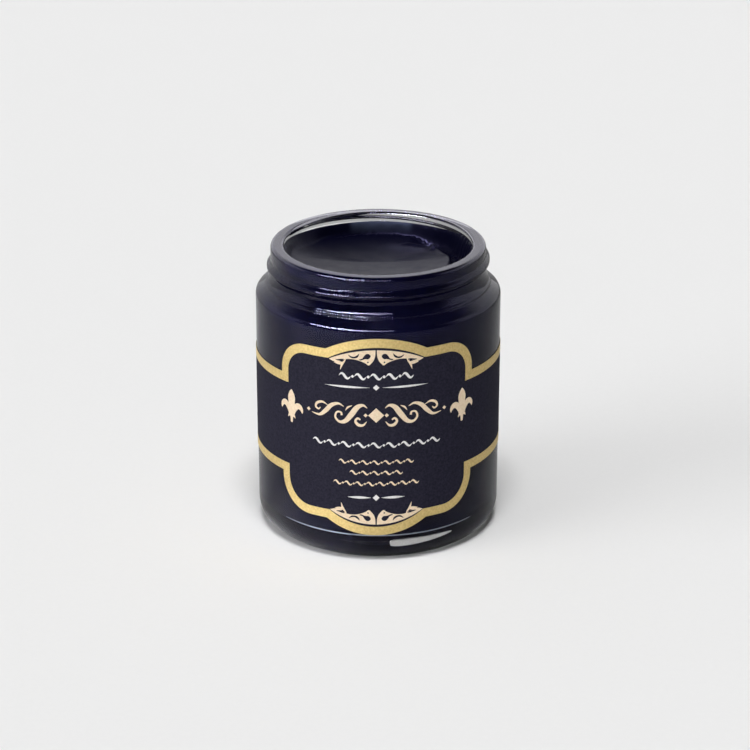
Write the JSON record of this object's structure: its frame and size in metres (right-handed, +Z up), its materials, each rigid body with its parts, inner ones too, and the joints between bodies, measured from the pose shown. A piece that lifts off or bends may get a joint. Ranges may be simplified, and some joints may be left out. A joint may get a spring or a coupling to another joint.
{
  "type": "shoe cream jar",
  "caption": "Open screw-neck glass jar of black shoe cream with a wrap-around die-cut label.",
  "frame": {"origin": "centre of the jar's base, on the plane it stands on", "axes": "+Z up along the jar's axis, -Y towards the front of the label, +X to the right seen from the front"},
  "size_m": [0.0482, 0.0482, 0.0574],
  "materials": {
    "jar_glass": "clear moulded glass, polished",
    "black_cream": "black wax cream, soft satin sheen",
    "label_sheet": "matte navy-black label stock with a gold border"
  },
  "bodies": {
    "root": {"glass_jar": "jar_glass", "shoe_cream": "black_cream", "label": "label_sheet"}
  },
  "joints": []
}
